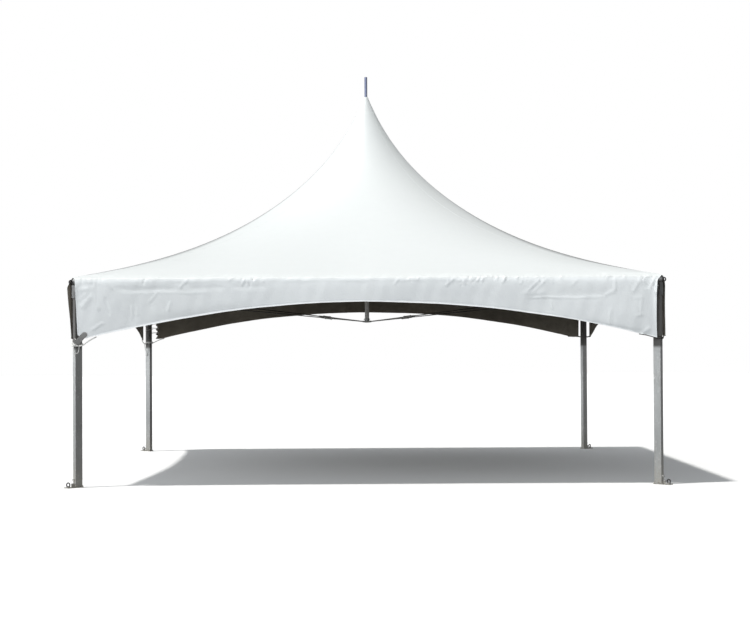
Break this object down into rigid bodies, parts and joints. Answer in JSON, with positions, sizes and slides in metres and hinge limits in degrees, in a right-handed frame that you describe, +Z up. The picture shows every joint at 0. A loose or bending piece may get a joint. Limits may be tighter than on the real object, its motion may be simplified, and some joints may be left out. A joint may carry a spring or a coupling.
{
  "type": "marquee tent",
  "caption": "Square high-peak frame tent with a white peaked roof, arched valances, corner legs on foot plates and a floating centre mast held by crossed stays.",
  "frame": {"origin": "on the ground under the mast, at the centre of the tent's floor plan", "axes": "+Z up, -Y towards the pictured front, +X to the front's right"},
  "size_m": [6.3604, 6.3604, 4.765],
  "materials": {
    "aluminium": "satin mill finish",
    "rail_tube": "dull mill finish",
    "cast_aluminium": "rough cast",
    "galvanised_steel": "matt zinc",
    "ring_steel": "dark weathered",
    "stay_steel": "dark wire rope",
    "pin_steel": "blue-grey satin",
    "roof_cloth": "white coated cloth, satin",
    "valance_cloth": "white coated cloth, satin, dark grey inside"
  },
  "bodies": {
    "root": {"leg_front_left": "aluminium", "leg_front_right": "aluminium", "leg_back_left": "aluminium", "leg_back_right": "aluminium", "foot_plate_front_left": "galvanised_steel", "foot_plate_front_right": "galvanised_steel", "foot_plate_back_left": "galvanised_steel", "foot_plate_back_right": "galvanised_steel", "foot_ring_front_left": "ring_steel", "foot_ring_front_right": "ring_steel", "foot_ring_back_left": "ring_steel", "foot_ring_back_right": "ring_steel", "corner_fitting_front_left": "cast_aluminium", "corner_fitting_front_right": "cast_aluminium", "corner_fitting_back_left": "cast_aluminium", "corner_fitting_back_right": "cast_aluminium", "corner_ring_front_left": "ring_steel", "corner_ring_front_right": "ring_steel", "corner_ring_back_left": "ring_steel", "corner_ring_back_right": "ring_steel", "stay_front_left": "stay_steel", "stay_front_right": "stay_steel", "stay_back_left": "stay_steel", "stay_back_right": "stay_steel", "turnbuckle_front_left": "galvanised_steel", "turnbuckle_front_right": "galvanised_steel", "turnbuckle_back_left": "galvanised_steel", "turnbuckle_back_right": "galvanised_steel", "rail_front": "rail_tube", "rail_right": "rail_tube", "rail_back": "rail_tube", "rail_left": "rail_tube", "roof_front": "roof_cloth", "roof_right": "roof_cloth", "roof_back": "roof_cloth", "roof_left": "roof_cloth", "valance_front": "valance_cloth", "valance_right": "valance_cloth", "valance_back": "valance_cloth", "valance_left": "valance_cloth", "mast": "aluminium", "mast_foot": "galvanised_steel", "mast_crown": "cast_aluminium", "peak_pin": "pin_steel"}
  },
  "joints": []
}
